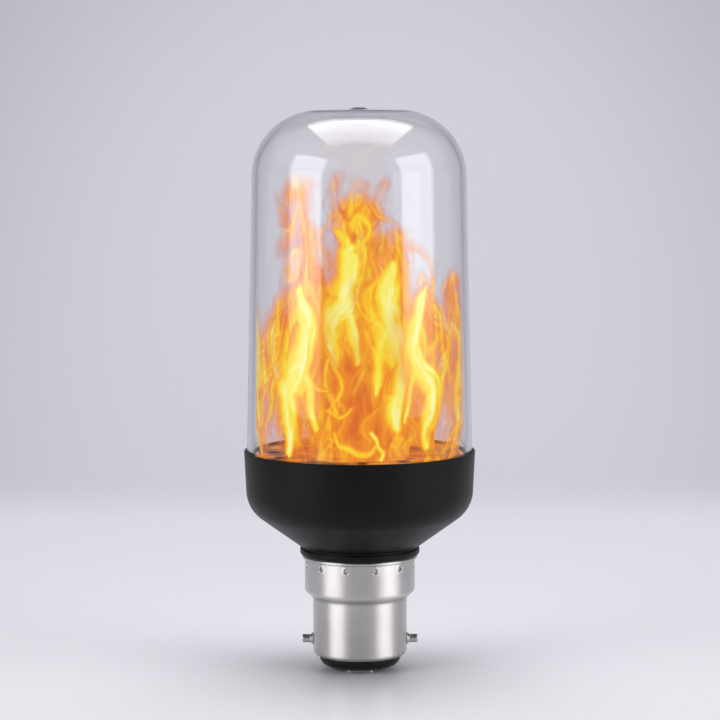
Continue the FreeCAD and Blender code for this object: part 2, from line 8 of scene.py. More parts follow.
import bpy
import numpy as np
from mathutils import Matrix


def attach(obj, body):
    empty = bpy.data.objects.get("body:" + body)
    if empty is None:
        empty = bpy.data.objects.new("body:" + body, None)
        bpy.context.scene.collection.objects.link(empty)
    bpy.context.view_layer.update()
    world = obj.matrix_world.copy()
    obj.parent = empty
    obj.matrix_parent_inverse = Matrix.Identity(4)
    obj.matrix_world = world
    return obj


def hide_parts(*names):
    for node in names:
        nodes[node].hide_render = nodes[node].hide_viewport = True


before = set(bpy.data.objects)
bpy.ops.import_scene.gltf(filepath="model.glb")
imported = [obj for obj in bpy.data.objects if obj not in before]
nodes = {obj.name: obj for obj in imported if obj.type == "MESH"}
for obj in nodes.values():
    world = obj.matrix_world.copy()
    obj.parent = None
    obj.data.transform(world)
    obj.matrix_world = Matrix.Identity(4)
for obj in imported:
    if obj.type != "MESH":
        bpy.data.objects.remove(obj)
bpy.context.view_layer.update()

scene = bpy.context.scene
MM = 0.001


# Cap insulator
#
# The black plug that closes the bayonet cap: one glossy moulding with a round nose through the cap's mouth
# and a hollow cup inside the barrel. A little dust dulls it in clouds.


class Wire:
    """One socket of a material's nodes. Arithmetic on it adds Math nodes; node() adds any other node."""

    def __init__(self, tree, socket):
        self.tree, self.socket = tree, socket

    def node(self, kind, out=0, settings=None, inputs=None):
        """Any node: its settings first, then its inputs, each a number or a wire. Gives its output out."""
        made = self.tree.nodes.new(kind)
        for key, value in (settings or {}).items():
            if key == "stops":
                ends = made.color_ramp.elements
                ends[0].position, ends[-1].position = value[0][0], value[-1][0]
                for place, _ in value[1:-1]:
                    ends.new(place)
                for stop, (_, colour) in zip(ends, value):
                    stop.color = (*colour, 1.0)
            else:
                setattr(made, key, value)
        for key, value in (inputs or {}).items():
            if isinstance(value, Wire):
                self.tree.links.new(value.socket, made.inputs[key])
            else:
                made.inputs[key].default_value = value
        return Wire(self.tree, made.outputs[out])

    def math(self, operation, *values):
        inputs = {i: v for i, v in enumerate(values)}
        return self.node("ShaderNodeMath", settings={"operation": operation}, inputs=inputs)

    def __add__(self, other):
        return self.math("ADD", self, other)

    def __radd__(self, other):
        return self.math("ADD", other, self)

    def __sub__(self, other):
        return self.math("SUBTRACT", self, other)

    def __rsub__(self, other):
        return self.math("SUBTRACT", other, self)

    def __mul__(self, other):
        return self.math("MULTIPLY", self, other)

    def __rmul__(self, other):
        return self.math("MULTIPLY", other, self)

    def __truediv__(self, other):
        return self.math("DIVIDE", self, other)

    def __pow__(self, other):
        return self.math("POWER", self, other)

    def clamped(self):
        """This wire held between 0 and 1."""
        return self.math("MINIMUM", self.math("MAXIMUM", self, 0.0), 1.0)

    def step(self, low, high):
        """0 below low, 1 above high, smooth between."""
        return self.node("ShaderNodeMapRange", settings={"interpolation_type": "SMOOTHSTEP"},
                         inputs={"Value": self, "From Min": low, "From Max": high})

    def noise(self, scale, stretch=(1, 1, 1), detail=3.0, roughness=0.55):
        """Cloudy noise from 0 to 1 on this wire's coordinates, scale to the metre, squeezed by stretch."""
        scaled = self.node("ShaderNodeMapping", inputs={"Vector": self, "Scale": stretch})
        return self.node("ShaderNodeTexNoise", inputs={
            "Vector": scaled, "Scale": scale, "Detail": detail, "Roughness": roughness})

    def blend(self, low, high):
        """The colour low where this wire is 0 and high where it is 1."""
        return self.node("ShaderNodeMix", out=2, settings={"data_type": "RGBA"},
                         inputs={0: self, 6: low, 7: high})

    def bump(self, distance, strength=1.0):
        """A normal that reads this wire as a height, distance metres from 0 to 1."""
        return self.node("ShaderNodeBump", inputs={
            "Height": self, "Distance": distance, "Strength": strength})


def paint(r, g, b):
    """A colour written as it is seen, 0 to 255, turned to the light it stands for by the sRGB curve."""
    seen = (r / 255, g / 255, b / 255)
    return tuple(v / 12.92 if v <= 0.04045 else ((v + 0.055) / 1.055) ** 2.4 for v in seen)


def finish(name, pattern, **fixed):
    """A material: its shader takes fixed numbers and colours, and what pattern(object coordinates) gives."""
    material = bpy.data.materials.new(name)
    material.use_nodes = True
    tree = material.node_tree
    shader = tree.nodes["Principled BSDF"]
    for key, value in fixed.items():
        value = (*value, 1.0) if isinstance(value, tuple) and len(value) == 3 else value
        shader.inputs[key.replace("_", " ")].default_value = value
    coordinates = tree.nodes.new("ShaderNodeTexCoord")
    for key, wire in pattern(Wire(tree, coordinates.outputs["Object"])).items():
        tree.links.new(wire.socket, shader.inputs[key])
    return material


def rounded(corners, step=6.0):
    """Profile points from corners (r, z, rounding) in mm. Each rounding becomes an arc tangent to both its
    runs, with a point every step degrees of turn."""
    points = []
    last = len(corners) - 1
    for i, (r, z, rounding) in enumerate(corners):
        here = np.array((r, z), float)
        if rounding <= 0 or i in (0, last):
            points.append(here)
            continue
        back = np.array(corners[i - 1][:2], float) - here
        ahead = np.array(corners[i + 1][:2], float) - here
        back /= np.linalg.norm(back)
        ahead /= np.linalg.norm(ahead)
        half = math.acos(np.clip(back @ ahead, -1, 1)) / 2
        middle = (back + ahead) / np.linalg.norm(back + ahead)
        centre = here + middle * (rounding / math.sin(half))
        start = here + back * (rounding / math.tan(half)) - centre
        end = here + ahead * (rounding / math.tan(half)) - centre
        first = math.atan2(start[1], start[0])
        turn = (math.atan2(end[1], end[0]) - first + math.pi) % (2 * math.pi) - math.pi
        count = max(2, int(abs(math.degrees(turn)) / step) + 1)
        angles = first + np.linspace(0, turn, count)
        points.extend(centre + rounding * np.stack([np.cos(angles), np.sin(angles)], 1))
    return np.array(points)


def skin(name, rings, material, slot, *stands_for, sharp=35):
    """A closed piece from rings, an array of rings x steps x 3 in mm, joined ring to ring and end to end
    round each ring. A ring whose points all meet is a pole, and becomes one point."""
    count, steps, _ = rings.shape
    index = np.arange(count * steps).reshape(count, steps)
    poles = np.ptp(rings, axis=1).max(axis=1) < 1e-9
    index[poles] = index[poles, :1]
    a, b = index[:-1], index[1:]
    quads = np.stack([a, np.roll(a, -1, 1), np.roll(b, -1, 1), b], -1).reshape(-1, 4)
    quads = quads[~((quads[:, 0] == quads[:, 1]) & (quads[:, 2] == quads[:, 3]))]
    faces = [tuple(dict.fromkeys(q)) for q in quads.tolist()]
    used = np.unique(np.concatenate([np.array(f) for f in faces]))
    renumber = np.zeros(count * steps, int)
    renumber[used] = np.arange(len(used))
    mesh = bpy.data.meshes.new(name)
    mesh.from_pydata(rings.reshape(-1, 3)[used] * MM, [], [tuple(renumber[list(f)].tolist()) for f in faces])
    mesh.shade_smooth()
    mesh.set_sharp_from_angle(angle=math.radians(sharp))
    mesh.materials.append(material)
    piece = bpy.data.objects.new(name, mesh)
    scene.collection.objects.link(piece)
    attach(piece, "root")
    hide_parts(*stands_for)
    return piece


def turned(profile, steps=160):
    """Rings of a profile turned about Z: point (r, z) at angle a from the front is (r sin a, -r cos a, z)."""
    a = np.linspace(0, 2 * math.pi, steps, endpoint=False)
    r, z = profile[:, :1], profile[:, 1:]
    return np.stack([r * np.sin(a), -r * np.cos(a), z + 0 * a], -1)


def insulator_look(at):
    dust = at.noise(900, detail=4)
    speck = at.noise(5200, detail=2)
    return {"Base Color": dust.step(0.45, 0.8).blend((*paint(9, 9, 11), 1), (*paint(22, 21, 22), 1)),
            "Roughness": 0.22 + dust * 0.2,
            "Normal": (speck + dust * 0.6).bump(0.00004, 0.5)}


insulator_black = finish("insulator_black", insulator_look, Specular_IOR_Level=0.28)
NOSE_RADIUS, PLUG_RADIUS, CUP_RADIUS = 9.5, 9.98, 8.58
NOSE_BOTTOM, PLUG_LEDGE, CUP_FLOOR, PLUG_TOP = 0.9, 3.9, 5.0, 10.0
insulator_profile = rounded([
    (0, NOSE_BOTTOM, 0), (NOSE_RADIUS, NOSE_BOTTOM, 2.0), (NOSE_RADIUS, PLUG_LEDGE, 0),
    (PLUG_RADIUS, PLUG_LEDGE, 0.3), (PLUG_RADIUS, PLUG_TOP, 0.3), (CUP_RADIUS, PLUG_TOP, 0.3),
    (CUP_RADIUS, CUP_FLOOR, 0.6), (0, CUP_FLOOR, 0)])
skin("cap_plug", turned(insulator_profile), insulator_black, "insulator_black", "cap_insulator")


# Base contacts
#
# Two plated brass plates on the plug's nose, each with a tube stem that goes up through it to a lead. The
# bulb stands on them. Their faces are rubbed bright, and their sides are painted dark from a third of a
# millimetre up, as painted shade under the plug.


def contact_look(at):
    wear = at.noise(1400, detail=5)
    scratch = at.noise(2600, stretch=(0.2, 1, 1), detail=3)
    # Painted shade: the contacts' sides go dark above a third of a millimetre, so only a thin line at the
    # foot stays bright.
    shaded_side = (at.node("ShaderNodeSeparateXYZ", out=2, inputs={0: at}) * 1000).step(0.3, 0.6)
    brass = wear.step(0.35, 0.7).blend((*paint(190, 187, 180), 1), (*paint(232, 229, 222), 1))
    return {"Base Color": (shaded_side * 0.8).blend(brass, (*paint(40, 38, 36), 1)),
            "Roughness": 0.28 + wear * 0.25,
            "Normal": scratch.bump(0.00003, 0.6)}


contact_brass = finish("contact_brass", contact_look, Metallic=1.0)
for node_name in ("contact_front", "contact_rear"):
    nodes[node_name].data.materials.clear()
    nodes[node_name].data.materials.append(contact_brass)


# Bayonet cap shell
#
# Pressed from thin sheet and plated, then rolled, so that fine lines run round it. Its foot is curled in,
# its skirt goes up round the housing's spigot, and twelve punched crimps hold it there.

CAP_STEPS = 480
CAP_SHEET = 0.4
BARREL_RADIUS, SKIRT_RADIUS, LIP_RADIUS, MOUTH_RADIUS = 11.0, 12.9, 13.45, 9.6
CAP_FOOT, BARREL_TOP, SKIRT_BOTTOM, LIP_BOTTOM, CAP_TOP = 3.4, 17.0, 18.7, 26.28, 26.95
CRIMPS, CRIMP_TURN, CRIMP_HEIGHT = 12, 16.0, 24.95
CRIMP_RADIUS, CRIMP_DEPTH, UNCRIMPED_RADIUS = 0.68, 1.1, 12.0
RAISED_RADIUS, RAISED_WIDTH, RAISED_HEIGHT = 0.8, 0.14, 0.09
# Lines of painted shade in the creases: the height, half width and darkness of each.
SHADED_CREASES = ((17.4, 1.0, 0.5), (3.8, 0.45, 0.45), (26.28, 0.25, 0.55))


def crimped(rings):
    """The rings with crimps, and how much painted shade each point holds in the pits. Where d is the distance
    to the nearest crimp, a point closer than the crimp's radius R goes in by its depth x (1 - (d / R)^2)^2,
    and a soft edge is raised round it by its height x exp(-((d - its radius) / its width)^2). Points nearer
    the axis than the skirt's sheet stay."""
    x, y, z = rings[..., 0], rings[..., 1], rings[..., 2]
    r = np.hypot(x, y)
    angle = np.degrees(np.arctan2(x, -y)) - CRIMP_TURN
    pitch = 360.0 / CRIMPS
    off = (angle + pitch / 2) % pitch - pitch / 2
    d = np.hypot(np.radians(off) * r, z - CRIMP_HEIGHT)
    pit = np.where(d < CRIMP_RADIUS, (1 - (d / CRIMP_RADIUS) ** 2) ** 2, 0.0)
    raised = np.exp(-((d - RAISED_RADIUS) / RAISED_WIDTH) ** 2)
    change = RAISED_HEIGHT * raised - CRIMP_DEPTH * pit
    skirt = r > UNCRIMPED_RADIUS
    scale = np.where(skirt, (r + change) / np.maximum(r, 1e-6), 1.0)
    out = rings.copy()
    out[..., 0] *= scale
    out[..., 1] *= scale
    return out, np.clip(pit * 2.2, 0, 1) * skirt


def cap_look(at):
    lines = at.noise(420, stretch=(1, 1, 26), detail=5, roughness=0.7)
    fine = at.noise(1500, stretch=(1, 1, 14), detail=2)
    cloud = at.noise(120, detail=3)
    grey = (lines * 0.5 + cloud * 0.5).step(0.25, 0.75)
    plating = grey.blend((*paint(219, 216, 213), 1), (*paint(238, 235, 233), 1))
    # Painted shade: the skin goes dark in the crimp pits and along the creases under the lip, round the
    # shoulder and at the curled foot.
    grime = at.node("ShaderNodeAttribute", out=2, settings={"attribute_name": "grime"})
    height = at.node("ShaderNodeSeparateXYZ", out=2, inputs={0: at}) * 1000
    for place, width, depth in SHADED_CREASES:
        apart = at.math("ABSOLUTE", height - place)
        grime = grime + (1 - apart / width).clamped() * depth
    return {"Base Color": grime.clamped().blend(plating, (*paint(26, 25, 24), 1)),
            "Roughness": 0.34 + lines * 0.14 + cloud * 0.05,
            "Normal": (lines * 0.7 + fine * 0.5).bump(0.00003, 0.6)}


plated_cap = finish("plated_cap", cap_look, Metallic=1.0, Anisotropic=0.9, Anisotropic_Rotation=0.25)
# Up the outside to below the crimps, through them in fine steps, then over the lip and down the inside.
cap_outside = rounded([
    (MOUTH_RADIUS, CAP_FOOT + CAP_SHEET, 0), (MOUTH_RADIUS, CAP_FOOT, 0.12), (BARREL_RADIUS, CAP_FOOT, 1.2),
    (BARREL_RADIUS, BARREL_TOP, 0.5), (SKIRT_RADIUS, SKIRT_BOTTOM, 1.0), (SKIRT_RADIUS, 23.6, 0)])
band_heights = np.linspace(23.8, 26.1, 27)
crimp_band = np.stack([np.full(len(band_heights), SKIRT_RADIUS), band_heights], 1)
skirt_inside, barrel_inside = SKIRT_RADIUS - CAP_SHEET, BARREL_RADIUS - CAP_SHEET
cap_inside = rounded([
    (SKIRT_RADIUS, LIP_BOTTOM, 0), (LIP_RADIUS, 26.42, 0.1), (LIP_RADIUS, CAP_TOP, 0.24),
    (12.55, CAP_TOP, 0.1), (skirt_inside, 26.5, 0), (skirt_inside, 19.0, 0.6), (barrel_inside, 17.3, 0.5),
    (barrel_inside, CAP_FOOT + CAP_SHEET, 0.9), (MOUTH_RADIUS, CAP_FOOT + CAP_SHEET, 0)])
cap_profile = np.concatenate([cap_outside, crimp_band, cap_inside])
cap_rings, cap_pit_shade = crimped(turned(cap_profile, CAP_STEPS))
cap_skin = skin("cap_skin", cap_rings, plated_cap, "plated_cap", "cap_shell", sharp=50)
# The painted shade of the pits goes on the skin as a point attribute.
cap_skin.data.attributes.new("grime", "FLOAT", "POINT").data.foreach_set("value", cap_pit_shade.ravel())


# Bayonet pins
#
# Two round pins riveted through the barrel, brighter than the shell. Each has a flat head inside, a flared
# collar outside and an eased end.

PIN_HEIGHT, PIN_RADIUS, COLLAR_RADIUS, HEAD_RADIUS = 7.0, 1.0, 1.5, 1.6
HEAD_START, HEAD_END, PIN_END = 10.08, 10.43, 13.55
COLLAR_START, COLLAR_TOP, COLLAR_END = 10.9, 11.05, 11.6


def pin_look(at):
    turn_marks = at.noise(900, stretch=(9, 1, 1), detail=3)
    dull, bright = (*paint(196, 194, 192), 1), (*paint(222, 220, 218), 1)
    return {"Base Color": turn_marks.step(0.3, 0.8).blend(dull, bright),
            "Roughness": 0.05 + turn_marks * 0.09,
            "Normal": turn_marks.bump(0.00002, 0.5)}


plated_pin = finish("plated_pin", pin_look, Metallic=1.0)
pin_profile = rounded([
    (0, HEAD_START, 0), (HEAD_RADIUS, HEAD_START, 0.08), (HEAD_RADIUS, HEAD_END, 0.08),
    (PIN_RADIUS, HEAD_END, 0), (PIN_RADIUS, COLLAR_START, 0), (COLLAR_RADIUS, COLLAR_TOP, 0.1),
    (PIN_RADIUS, COLLAR_END, 0.25), (PIN_RADIUS, PIN_END, 0.25), (0, PIN_END, 0)])
for side, side_name in ((-1, "left"), (1, "right")):
    upright = turned(pin_profile, 48)
    lying = np.stack([side * upright[..., 2], side * upright[..., 1], PIN_HEIGHT - upright[..., 0]], -1)
    skin("pin_" + side_name, lying, plated_pin, "plated_pin", "bayonet_pin_" + side_name)


# Base housing
#
# One black moulding: rim, bowl, cone, a shallow groove, the neck ring and the spigot that the cap is
# crimped to. Its mould was spark-eroded, which leaves a fine satin grain.

SPIGOT_RADIUS, SPIGOT_BORE, NECK_RADIUS, GROOVE_RADIUS, RIM_RADIUS = 12.45, 10.9, 14.0, 13.6, 27.0
SPIGOT_FOOT, NECK_BOTTOM, NECK_TOP, CONE_FOOT, RIM_TOP = 20.1, 26.98, 28.75, 29.25, 51.7
SEAT_RADIUS, SEAT_HEIGHT, BOWL_INSIDE = 26.43, 47.65, 24.9


def housing_look(at):
    grain = at.noise(5200, detail=3, roughness=0.7)
    flow = at.noise(90, stretch=(1, 1, 0.5), detail=2)
    dark, less_dark = (*paint(6, 6, 9), 1), (*paint(10, 10, 13), 1)
    return {"Base Color": flow.step(0.3, 0.75).blend(dark, less_dark),
            "Roughness": 0.37 + grain * 0.07 + flow * 0.05,
            "Normal": grain.bump(0.00002, 0.4)}


black_plastic = finish("black_plastic", housing_look, Specular_IOR_Level=0.19)
# Round the outside from the spigot's foot to the rim, then down the inside. The bowl's big rounding is
# where the cone would meet the rim's drafted side.
housing_profile = rounded([
    (12.4, SPIGOT_FOOT, 0), (SPIGOT_RADIUS, SPIGOT_FOOT, 0), (SPIGOT_RADIUS, NECK_BOTTOM, 0),
    (NECK_RADIUS, NECK_BOTTOM, 0.9), (NECK_RADIUS, NECK_TOP, 0.2), (GROOVE_RADIUS, NECK_TOP, 0),
    (GROOVE_RADIUS, CONE_FOOT, 0), (13.95, CONE_FOOT, 0.1), (26.333, 38.218, 7.8), (RIM_RADIUS, RIM_TOP, 0.2),
    (SEAT_RADIUS, RIM_TOP, 0.1), (SEAT_RADIUS, SEAT_HEIGHT, 0), (BOWL_INSIDE, SEAT_HEIGHT, 0),
    (BOWL_INSIDE, 46.0, 0), (24.4, 39.2, 4.3), (SPIGOT_BORE, 29.9, 0), (SPIGOT_BORE, SPIGOT_FOOT, 0.3),
    (12.4, SPIGOT_FOOT, 0)], step=4.0)
skin("housing_skin", turned(housing_profile, 192), black_plastic, "black_plastic", "base_housing")


# Driver
#
# The small mains circuit on a board in two rails inside the neck, its two leads, and the light board above
# it with its screws. None of it shows, and the solids keep their shapes.


def speckled(dark, light, scale, rough):
    """A look in two close tones of one colour, clouded at scale to the metre, and rough upwards of rough."""
    def look(at):
        cloud = at.noise(scale, detail=4)
        return {"Base Color": cloud.step(0.3, 0.7).blend((*paint(*dark), 1), (*paint(*light), 1)),
                "Roughness": rough + cloud * 0.15,
                "Normal": at.noise(scale * 4, detail=2).bump(0.00003, 0.5)}
    return look


# Each finish: its look, how metallic it is and the nodes it goes on.
driver_finishes = {
    "green_board": (speckled((18, 92, 46), (30, 116, 60), 700, 0.3), 0.0, ["driver_board"]),
    "can_sleeve": (speckled((24, 28, 52), (34, 40, 74), 500, 0.25), 0.0, ["reservoir_capacitor"]),
    "tape_yellow": (speckled((206, 178, 60), (226, 202, 92), 500, 0.35), 0.0, ["transformer"]),
    "film_capacitor_red": (speckled((142, 52, 34), (166, 70, 46), 600, 0.3), 0.0, ["film_capacitor"]),
    "chip_black": (speckled((22, 22, 24), (36, 36, 38), 2600, 0.5), 0.0,
                   ["bridge_rectifier", "controller_chip"]),
    "resistor_body": (speckled((120, 150, 132), (142, 170, 152), 900, 0.4), 0.0, ["fusible_resistor"]),
    "sensor_can": (speckled((182, 182, 180), (204, 204, 204), 900, 0.25), 1.0, ["tilt_sensor"]),
    "connector_white": (speckled((222, 220, 212), (236, 234, 228), 900, 0.45), 0.0, ["board_connector"]),
    "red_wire": (speckled((150, 24, 22), (176, 36, 30), 900, 0.4), 0.0, ["live_wire"]),
    "black_wire": (speckled((22, 22, 24), (40, 40, 42), 900, 0.4), 0.0, ["neutral_wire"]),
    "screw_steel": (speckled((176, 176, 178), (208, 208, 208), 1500, 0.25), 1.0,
                    ["board_screw_1", "board_screw_2", "board_screw_3"]),
    "white_board": (speckled((222, 222, 218), (236, 236, 232), 800, 0.4), 0.0, ["light_board"]),
}
for slot_name, (look, metal, parts) in driver_finishes.items():
    material = finish(slot_name, look, Metallic=metal)
    for part in parts:
        nodes[part].data.materials.clear()
        nodes[part].data.materials.append(material)


# Light chips and deck
#
# Phosphor-topped chips shine up through round windows in the deck, a flat disc on a short skirt. It is
# black and mirrors the flames: that amber mirror image is painted on it here in swirls, for it shows from
# every side.


def chip_look(at):
    grain = at.noise(4000, detail=3)
    return {"Base Color": grain.blend((*paint(236, 190, 70), 1), (*paint(250, 214, 110), 1)),
            "Emission Color": grain.blend((*paint(255, 150, 30), 1), (*paint(255, 205, 90), 1)),
            "Roughness": 0.3 + grain * 0.2}


light_chip = finish("light_chip", chip_look, Emission_Strength=1.0)
for node_name in nodes:
    if node_name.startswith(("outer_light", "inner_light")):
        nodes[node_name].data.materials.clear()
        nodes[node_name].data.materials.append(light_chip)


def deck_look(at):
    swirl = at.noise(120, detail=4)
    dust = at.noise(3800, detail=2)
    return {"Base Color": swirl.step(0.42, 0.6).blend((*paint(92, 48, 12), 1), (*paint(212, 134, 32), 1)),
            "Roughness": 0.22 + swirl * 0.16,
            "Normal": (swirl * 0.6 + dust * 0.1).bump(0.0002, 0.3)}


deck_plastic = finish("gloss_black_plastic", deck_look, Specular_IOR_Level=0.03)
nodes["deck_plate"].data.materials.clear()
nodes["deck_plate"].data.materials.append(deck_plastic)


# Flame films
#
# Three nested clear sleeves that stand in the deck's grooves. Each is printed with flames and lit from
# below, so the print glows, from pale yellow in the body of a tongue to orange and a rosy haze at its edge.

DECK = 51.2
FILM_SEAT = 0.8
GRAIN = 0.3
GLOW_REACH, TONGUE_REACH = (1.7, 2.5), (3.6, 2.6)


def lattice_noise(points, seed):
    """Smooth noise of about -1 to 1: at each corner of the unit cell round a point a random slope times the
    way to that corner, blended by the fifth-power fade."""
    rng = np.random.default_rng(seed)
    order = rng.permutation(256)
    order = np.concatenate([order, order])
    slopes = rng.normal(size=(256, 3))
    slopes /= np.linalg.norm(slopes, axis=1, keepdims=True)
    cell = np.floor(points).astype(int)
    part = points - cell
    fade = part ** 3 * (part * (part * 6 - 15) + 10)
    total = 0.0
    for i in (0, 1):
        for j in (0, 1):
            for k in (0, 1):
                corner = np.array((i, j, k))
                c = (cell + corner) & 255
                slope = slopes[order[order[order[c[:, 0]] + c[:, 1]] + c[:, 2]]]
                share = np.prod(np.where(corner, fade, 1 - fade), axis=1)
                total = total + share * ((part - corner) * slope).sum(1)
    return total * 1.6


def smooth_path(points):
    """A stroke's points joined by a smooth cubic through each of them, in eight short runs a gap."""
    p = np.array(points, float)
    p = np.concatenate([2 * p[:1] - p[1:2], p, 2 * p[-1:] - p[-2:-1]])
    t = np.linspace(0, 1, 9)[:-1, None]
    runs = []
    for a, b, c, d in zip(p[:-3], p[1:-2], p[2:-1], p[3:]):
        runs.append(0.5 * (2 * b + (c - a) * t + (2 * a - 5 * b + 4 * c - d) * t ** 2
                           + (3 * b - a - 3 * c + d) * t ** 3))
    return np.concatenate(runs + [p[-2:-1]])


def along_stroke(degrees, height, radius, points, reach):
    """The film's places near a stroke: which they are, how far across it each lies (left or right of it by
    its sign), how far along it, all in mm, and the stroke's half width there. Near means within half width
    x reach[0] + reach[1]."""
    curve = smooth_path(points)
    centre = curve[:, 0].mean()
    across = np.radians((degrees - centre + 180) % 360 - 180) * radius
    path = np.stack([np.radians(curve[:, 0] - centre) * radius, curve[:, 1]], 1)
    width = np.maximum(curve[:, 2], 0.12)
    room = width.max() * reach[0] + reach[1]
    low, high = path.min(0) - room, path.max(0) + room
    near = np.flatnonzero((across > low[0]) & (across < high[0]) & (height > low[1]) & (height < high[1]))
    x, y = across[near], height[near]
    best = np.full(len(near), np.inf)
    off, way, half = np.zeros(len(near)), np.zeros(len(near)), np.ones(len(near))
    gone = 0.0
    for i in range(len(path) - 1):
        start, run = path[i], path[i + 1] - path[i]
        length = math.hypot(*run) + 1e-9
        t = np.clip(((x - start[0]) * run[0] + (y - start[1]) * run[1]) / length ** 2, 0, 1)
        dx, dy = x - start[0] - run[0] * t, y - start[1] - run[1] * t
        w = width[i] + (width[i + 1] - width[i]) * t
        share = np.hypot(dx, dy) / (w * reach[0] + reach[1])
        closer = share < best
        best = np.where(closer, share, best)
        off = np.where(closer, np.sign(dx * run[1] - dy * run[0]) * np.hypot(dx, dy), off)
        way = np.where(closer, gone + t * length, way)
        half = np.where(closer, w, half)
        gone += length
    inside = best < 1
    return near[inside], off[inside], way[inside], half[inside]


def licks(rng, count, start, span, low, high, heat):
    """Thin licks that rise and sway from places taken at random on a stretch of a film."""
    made = []
    for _ in range(count):
        angle, foot = start + span * rng.random(), low + (high - low) * rng.random()
        tall, lean, curl = rng.uniform(7, 18), rng.normal(0, 7), rng.normal(0, 9)
        width, turn = rng.uniform(0.18, 0.5), rng.uniform(0, 2 * math.pi)
        points = []
        for k in range(6):
            t = k / 5
            at = angle + lean * t + curl * math.sin(turn + 3.5 * t)
            points.append((at, foot + tall * t, width * math.sin(math.pi * (0.1 + 0.85 * t))))
        made.append((heat * rng.uniform(0.75, 1.15), points))
    return made


def moved(strokes, from_deg, to_deg, tall=1.0, flip=False):
    """The same strokes set at another place on a film, taller or shorter, or turned over left to right."""
    sign = -1 if flip else 1
    return [(heat, [(to_deg + sign * (a - from_deg), z * tall, w) for a, z, w in points])
            for heat, points in strokes]


def fold(value, softness):
    """A slow rise from 0 to 1 and a quick fall, over and over, like hanging sheets seen edge on."""
    part = value - np.floor(value)
    return np.minimum(part / (1 - softness), (1 - part) / softness)


def flame_look(at):
    warmth = at.node("ShaderNodeAttribute", out=2, settings={"attribute_name": "warmth"})
    cover = at.node("ShaderNodeAttribute", out=2, settings={"attribute_name": "cover"})
    fine = at.noise(1300, stretch=(1, 1, 0.4), detail=3, roughness=0.6)
    hot = warmth + (fine - 0.5) * 0.1 * (warmth * 3).clamped()
    colour = hot.node("ShaderNodeValToRGB", inputs={0: hot}, settings={"stops": [
        (0.0, paint(212, 92, 32)), (0.15, paint(228, 110, 20)), (0.3, paint(244, 138, 14)),
        (0.45, paint(252, 164, 16)), (0.6, paint(255, 194, 24)), (0.75, paint(255, 222, 46)),
        (0.88, paint(255, 242, 104)), (1.0, paint(255, 252, 178))]})
    return {"Emission Color": colour, "Alpha": cover}


flame_print = finish("printed_film", flame_look, Base_Color=(0.0, 0.0, 0.0), Specular_IOR_Level=0.0,
                     Roughness=1.0, Emission_Strength=1.0)


